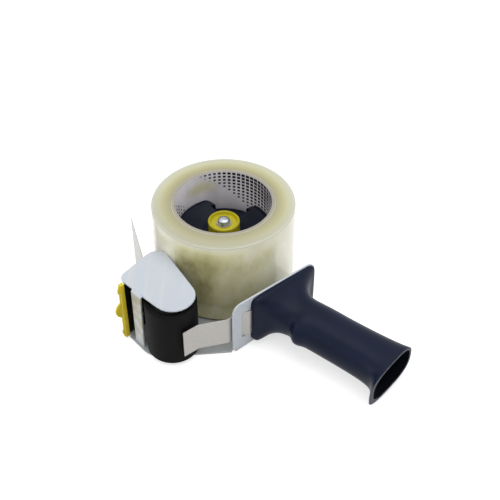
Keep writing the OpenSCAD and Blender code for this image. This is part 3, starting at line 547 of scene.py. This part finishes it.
# bands from dull by the core to pale at the rim, which run a little off round
across = add(cut_film, "MapRange", {"From Min": film_in * MM, "From Max": film_r * MM}, {"Value": radius})
wander = add(cut_film, "TexNoise", {"Scale": 30, "Detail": 2}, {"Vector": place})
wander = add(cut_film, "MapRange", {"To Min": -0.05, "To Max": 0.05}, {"Value": wander.outputs["Fac"]})
across = add(cut_film, "Math", links={0: across.outputs["Result"], 1: wander.outputs["Result"]},
             operation="ADD")
bands = add(cut_film, "ValToRGB", links={"Fac": across.outputs[0]}, stops=[
    (0.0, "#9E9A80"), (0.1, "#AAA582"), (0.25, "#B3AF84"), (0.42, "#BFBB90"), (0.6, "#C9C8A6"),
    (0.8, "#CBCAB4"), (0.93, "#CECEBF"), (1.0, "#D2D2C4"),
])
# the top face is darker towards one side
side = add(cut_film, "MapRange", {"From Min": -0.2 * film_r * MM, "From Max": film_r * MM, "To Max": 0.65},
           {"Value": reach(cut_film, place, DARKER_RING_SIDE)})
bands = add(cut_film, "Mix", {SECOND: linear("#A6A48A")},
            {SHARE: side.outputs["Result"], FIRST: bands.outputs["Color"]}, data_type="RGBA")
# painted highlight: the outer edge of the top face is painted paler
edge = add(cut_film, "MapRange", {"From Min": 0.85, "From Max": 1.0, "To Max": 0.35},
           {"Value": across.outputs[0]})
bands = add(cut_film, "Mix", {SECOND: linear("#E4E3D2")},
            {SHARE: edge.outputs["Result"], FIRST: bands.outputs[MIXED]}, data_type="RGBA")
# turns of film, drawn 0.5 mm apart so that they show
turns = add(cut_film, "Math", {1: 2 * math.pi / (TURN * MM)}, {0: radius}, operation="MULTIPLY")
turns = add(cut_film, "Math", links={0: turns.outputs[0]}, operation="SINE")
skin = add(cut_film, "Bump", {"Strength": 0.1, "Distance": 0.05 * MM}, {"Height": turns.outputs[0]})
feed(cut_film, shader, Base_Color=bands.outputs[MIXED], Normal=skin.outputs["Normal"])

winding = turned("wound_tape", [
    (film_in, film_z0), (film_r - 0.6, film_z0), (film_r, film_z0 + 0.6), (film_r, film_z1 - 1.2),
    (film_r - 0.4, film_z1 - 0.4), (film_r - 1.4, film_z1), (film_in, film_z1), (film_in, film_z0),
], steps=160)
winding.data.materials.append(film)
winding.data.materials.append(cut_film)
for face in winding.data.polygons:
    face.material_index = 1 if face.normal.z > 0.3 else 0
smooth(winding, 55)
fit(winding, film, "roll", "tape_roll")

# ---------------------------------------------------------------- roller
# Rubber sleeve on a plastic spool, which the tape runs over. The spool turns on two nylon bushes and a
# zinc-plated axle, which a screw holds to the side plate.
# Black moulded rubber: matt, with faint grey bloom and a ground surface.

RUBBER_WALL = 4.8
rubber, shader, place = new_finish("ground_black_rubber", {"IOR": 1.52, "Specular IOR Level": 0.06})
bloom, tone = mottle(rubber, place, {"Scale": 40, "Detail": 5, "Roughness": 0.65}, "#0C0C0D", "#161617",
                     spread=(0.3, 0.75))
gloss = add(rubber, "MapRange", {"To Min": 0.5, "To Max": 0.72}, {"Value": bloom})
# short grinding lines round the sleeve, 0.2 mm apart
along = add(rubber, "Mapping", {"Scale": (1, 1, 12)}, {"Vector": place})
ground = add(rubber, "TexNoise", {"Scale": 400, "Detail": 2}, {"Vector": along.outputs["Vector"]})
skin = add(rubber, "Bump", {"Strength": 0.15, "Distance": 0.05 * MM}, {"Height": ground.outputs["Fac"]})
feed(rubber, shader, Base_Color=tone, Roughness=gloss.outputs["Result"], Normal=skin.outputs["Normal"])

low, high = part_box("roller_rubber")
roller_spot = ((low.x + high.x) / 2 / MM, (low.y + high.y) / 2 / MM)
sleeve_r = (high.x - low.x) / 2 / MM
sleeve_in = sleeve_r - RUBBER_WALL
sleeve_z0, sleeve_z1 = low.z / MM, high.z / MM
sleeve = turned("rubber_roller_sleeve", [
    (sleeve_in, sleeve_z0), (sleeve_r - 1.1, sleeve_z0), (sleeve_r - 0.4, sleeve_z0 + 0.25),
    (sleeve_r, sleeve_z0 + 1.0), (sleeve_r, sleeve_z1 - 1.0), (sleeve_r - 0.4, sleeve_z1 - 0.25),
    (sleeve_r - 1.1, sleeve_z1), (sleeve_in, sleeve_z1), (sleeve_in, sleeve_z0),
], steps=128, centre=roller_spot)
smooth(sleeve, 50)
fit(sleeve, rubber, "roller", "roller_rubber")

spool_plastic, shader, place = new_finish("grey_polypropylene", {"Roughness": 0.5})
_, tone = mottle(spool_plastic, place, {"Scale": 80, "Detail": 3}, "#303133", "#434447")
feed(spool_plastic, shader, Base_Color=tone)
rounded("roller_core", "roller_spool", spool_plastic, "roller", "roller_plastic", 0.3)
rounded("roller_bushes", "nylon_roller_bushes", nylon, "roller", "nylon", 0.2)
rounded("roller_axle", "turned_roller_axle", zinc, "root", "zinc_steel", 0.3)
rounded("axle_screw", "axle_pan_screw", bright, "root", "bright_steel", 0.25)

# ---------------------------------------------------------------- blade and its guard
# Serrated steel blade, held to the blade wall by two screws and nuts, under a yellow guard that slides off.
# The blade is carbon steel painted near-black, as painted shade inside the head, with bright ground teeth.
# The guard is a moulded polyethylene channel with a scalloped fin.

GROUND_DEPTH = 2.4  # how far the grinding reaches in from the points of the teeth
# painted shade: the blade is near-black for the shade inside the head, its teeth bright
shaded_blade_steel, shader, place = new_finish("blade_steel_with_painted_shade", {"Metallic": 0.85})
mottling, dark = mottle(shaded_blade_steel, place, {"Scale": 150, "Detail": 4}, "#1A1B1E", "#33353A",
                        spread=(0.3, 0.75))
teeth_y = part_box("blade")[0].y
spot = add(shaded_blade_steel, "SeparateXYZ", links={"Vector": place})
ground = add(shaded_blade_steel, "MapRange", {"From Min": teeth_y + (GROUND_DEPTH + 0.2) * MM,
                                       "From Max": teeth_y + (GROUND_DEPTH - 0.2) * MM},
             {"Value": spot.outputs["Y"]})
tone = add(shaded_blade_steel, "Mix", {SECOND: linear("#B9BCC0")}, {SHARE: ground.outputs["Result"], FIRST: dark},
           data_type="RGBA")
gloss = add(shaded_blade_steel, "MapRange", {"To Min": 0.3, "To Max": 0.5}, {"Value": mottling})
feed(shaded_blade_steel, shader, Base_Color=tone.outputs[MIXED], Roughness=gloss.outputs["Result"])
rounded("blade", "serrated_blade", shaded_blade_steel, "root", "blade_steel", 0.06, segments=1)
rounded("blade_screws", "blade_pan_screws", bright, "root", "bright_steel", 0.25)
rounded("blade_nuts", "blade_hex_nuts", bright, "root", "bright_steel", 0.25)

waxy, shader, place = new_finish("yellow_polyethylene", {
    "IOR": 1.51, "Subsurface Weight": 0.1, "Subsurface Scale": 1.5 * MM, "Specular IOR Level": 0.35,
})
flow, tone = mottle(waxy, place, {"Scale": 90, "Detail": 3, "Roughness": 0.6}, "#D6BF1E", "#E4CE38",
                    spread=(0.3, 0.72))
gloss = add(waxy, "MapRange", {"To Min": 0.34, "To Max": 0.5}, {"Value": flow})
feed(waxy, shader, Base_Color=tone, Roughness=gloss.outputs["Result"])
rounded("blade_guard", "scalloped_blade_guard", waxy, "guard", "guard_plastic", 0.45, segments=3, angle=35)

# ---------------------------------------------------------------- wiper
# Springy plastic sheet that presses the tape down as it leaves the roller.
# Thin milky polyester sheet, partly clear, held by a clamp strip and two rivets.

sheet, shader, place = new_finish("milky_polyester_sheet", {
    "Roughness": 0.3, "IOR": 1.57, "Coat Weight": 0.3,
})
haze, tone = mottle(sheet, place, {"Scale": 50, "Detail": 3}, "#ADAEA7", "#BDBEB9")
solid = add(sheet, "MapRange", {"To Min": 0.72, "To Max": 0.84}, {"Value": haze})
feed(sheet, shader, Base_Color=tone, Alpha=solid.outputs["Result"])
rounded("wiper_root", "wiper_clamped_end", sheet, "root", "wiper_film", 0.12, segments=1)
rounded("wiper_flap", "wiper_flap_sheet", sheet, "wiper", "wiper_film", 0.12, segments=1)
rounded("wiper_clamp", "wiper_clamp_strip", zinc, "root", "zinc_steel", 0.2)
rounded("wiper_rivets", "wiper_clamp_rivets", bright, "root", "bright_steel", 0.2)

# ---------------------------------------------------------------- spring tongue
# Strip of spring steel that keeps the tape's end by the roller. It passes through the flange's slot.
# Rolled strip, warm grey, with fine lines along its length.

strip_steel, shader, place = new_finish("rolled_spring_steel", {"Metallic": 0.6})
along = add(strip_steel, "Mapping", {"Scale": (0.15, 0.15, 1)}, {"Vector": place})
lines, tone = mottle(strip_steel, along.outputs["Vector"], {"Scale": 1800, "Detail": 3}, "#AEABA6", "#B7B5B1")
gloss = add(strip_steel, "MapRange", {"To Min": 0.4, "To Max": 0.5}, {"Value": lines})
skin = add(strip_steel, "Bump", {"Strength": 0.04, "Distance": 0.03 * MM}, {"Height": lines})
feed(strip_steel, shader, Base_Color=tone, Roughness=gloss.outputs["Result"], Normal=skin.outputs["Normal"])
rounded("tongue_root", "tongue_fixed_end", strip_steel, "root", "tongue_steel", 0.15)
rounded("tongue_arm", "tongue_free_arm", strip_steel, "tongue", "tongue_steel", 0.15)

# ---------------------------------------------------------------- handle
# Hollow pistol grip with a flared open end and a flat flange, held to the frame by three screws.
# Navy polypropylene, satin with fine mould grain, so that light spreads softly along its top.
# The hollow inside is as it left the mould, duller than the outside, and painted darker as painted shade
# inside the hollow.

grip_plastic, shader, place = new_finish("grained_navy_polypropylene", {
    "IOR": 1.49, "Specular IOR Level": 0.13,
})
flow, tone = mottle(grip_plastic, place, {"Scale": 28, "Detail": 4, "Roughness": 0.6}, "#0A1326", "#101A32",
                    spread=(0.3, 0.75))
gloss = add(grip_plastic, "MapRange", {"To Min": 0.32, "To Max": 0.44}, {"Value": flow})
# mould grain, 0.45 mm across
grain = add(grip_plastic, "TexNoise", {"Scale": 2200, "Detail": 2}, {"Vector": place})
skin = add(grip_plastic, "Bump", {"Strength": 0.16, "Distance": 0.06 * MM}, {"Height": grain.outputs["Fac"]})
feed(grip_plastic, shader, Base_Color=tone, Roughness=gloss.outputs["Result"], Normal=skin.outputs["Normal"])

# painted shade: the hollow's inside is painted darker than the outside
hollow_plastic, shader, place = new_finish("unpolished_navy_polypropylene_painted_shade", {
    "IOR": 1.49, "Specular IOR Level": 0.05, "Roughness": 0.7,
})
_, tone = mottle(hollow_plastic, place, {"Scale": 40, "Detail": 3}, "#05070D", "#090C15",
                 spread=(0.3, 0.75))
feed(hollow_plastic, shader, Base_Color=tone)

grip = merged_copy("handle", "moulded_pistol_grip", whole_faces=False)
bpy.ops.object.mode_set(mode="EDIT")
bpy.ops.mesh.select_all(action="SELECT")
bpy.ops.mesh.tris_convert_to_quads(face_threshold=math.radians(30), shape_threshold=math.radians(60))
bpy.ops.mesh.select_mode(type="EDGE")
bpy.ops.mesh.select_all(action="DESELECT")
bpy.ops.mesh.edges_select_sharp(sharpness=math.radians(48))
bpy.ops.transform.edge_crease(value=0.75)
bpy.ops.mesh.select_mode(type="VERT")
bpy.ops.object.mode_set(mode="OBJECT")
modify(grip, "SUBSURF", levels=2, render_levels=2)
smooth(grip, 50)

# the grip's middle line: its place at the flange, and how far it runs sideways for its length
GRIP_Y, GRIP_Z, GRIP_SLOPE = -4 * MM, 22 * MM, 0.19
grip_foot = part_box("handle")[0].x
grip.data.materials.append(grip_plastic)
grip.data.materials.append(hollow_plastic)
for face in grip.data.polygons:
    middle_y = GRIP_Y + GRIP_SLOPE * (face.center.x - grip_foot)
    outwards = Vector((0, face.center.y - middle_y, face.center.z - GRIP_Z))
    face.material_index = 1 if abs(face.normal.x) < 0.9 and face.normal.dot(outwards) < 0 else 0
fit(grip, grip_plastic, "root", "handle")
rounded("handle_screws", "handle_pan_screws", bright, "root", "bright_steel", 0.3)

# ---------------------------------------------------------------- floor, lights and camera
# A pale floor 6 m wide, under a white sky and four soft lamps, and the camera, which looks down on the
# roller and the handle. Seen straight on, mirrored or through clear pieces, the floor and the sky are
# brighter than the light that they throw, so that the ground looks white.

FLOOR_SIDE = 6
FLOOR_DROP = 0.2 * MM
FLOOR_GLOW = 0.6
LAMPS_AIM = (0.05, 0, 0.03)
CAMERA_PLACE = (0.44387, -0.34266, 0.52832)
CAMERA_AIM = (-0.5724, 0.4769, -0.667)


def in_sight(finish):
    """1 where a thing is seen straight on, mirrored or through clear pieces, and 0 where it gives light."""
    rays = add(finish, "LightPath")
    seen = add(finish, "Math", links={0: rays.outputs["Is Camera Ray"], 1: rays.outputs["Is Glossy Ray"]},
               operation="MAXIMUM")
    return add(finish, "Math", links={0: seen.outputs[0], 1: rays.outputs["Is Transmission Ray"]},
               operation="MAXIMUM").outputs[0]


floor_finish, shader, place = new_finish("pale_floor", {
    "Base Color": linear("#D2D2D2"), "Roughness": 0.9, "Emission Color": (1, 1, 1, 1),
})
glow = add(floor_finish, "Math", {1: FLOOR_GLOW}, {0: in_sight(floor_finish)}, operation="MULTIPLY")
feed(floor_finish, shader, Emission_Strength=glow.outputs[0])
bpy.ops.mesh.primitive_plane_add(size=FLOOR_SIDE, location=(0, 0, -FLOOR_DROP))
floor = bpy.context.object
floor.name = "floor"
floor.data.materials.append(floor_finish)

world = bpy.data.worlds.new("studio")
bpy.context.scene.world = world
world.use_nodes = True
world.node_tree.nodes.clear()
sky = add(world, "Background", {"Color": (1, 1, 1, 1)})
level = add(world, "MapRange", {"To Min": 0.45, "To Max": 1.0}, {"Value": in_sight(world)})
world.node_tree.links.new(level.outputs["Result"], sky.inputs["Strength"])
add(world, "OutputWorld", links={"Surface": sky.outputs["Background"]})

# name, place in metres, side of the lamp in metres, power in watts
for name, spot, side, power in (
    ("softbox_above", (0.1, 0.15, 1.3), 1.1, 7.5),
    ("softbox_right", (0.8, 0.6, 0.6), 1.0, 2.5),
    ("softbox_left", (-0.5, -0.8, 0.5), 0.9, 3),
    ("softbox_front", (0.8, -0.7, 0.8), 1.2, 2.5),
):
    bpy.ops.object.light_add(type="AREA", location=spot)
    lamp = bpy.context.object
    lamp.name = name
    lamp.data.size = side
    lamp.data.energy = power
    towards = Vector(LAMPS_AIM) - Vector(spot)
    lamp.rotation_euler = towards.to_track_quat("-Z", "Y").to_euler()

bpy.ops.object.camera_add()
camera = bpy.context.object
camera.name = "camera"
camera.data.lens = 65.97
camera.data.sensor_width = 36
forward = Vector(CAMERA_AIM).normalized()
right = forward.cross(Vector((0, 0, 1))).normalized()
up = right.cross(forward)
camera.matrix_world = Matrix.Translation(CAMERA_PLACE) @ Matrix((right, up, -forward)).transposed().to_4x4()
bpy.context.scene.camera = camera
bpy.context.scene.view_settings.view_transform = "Standard"
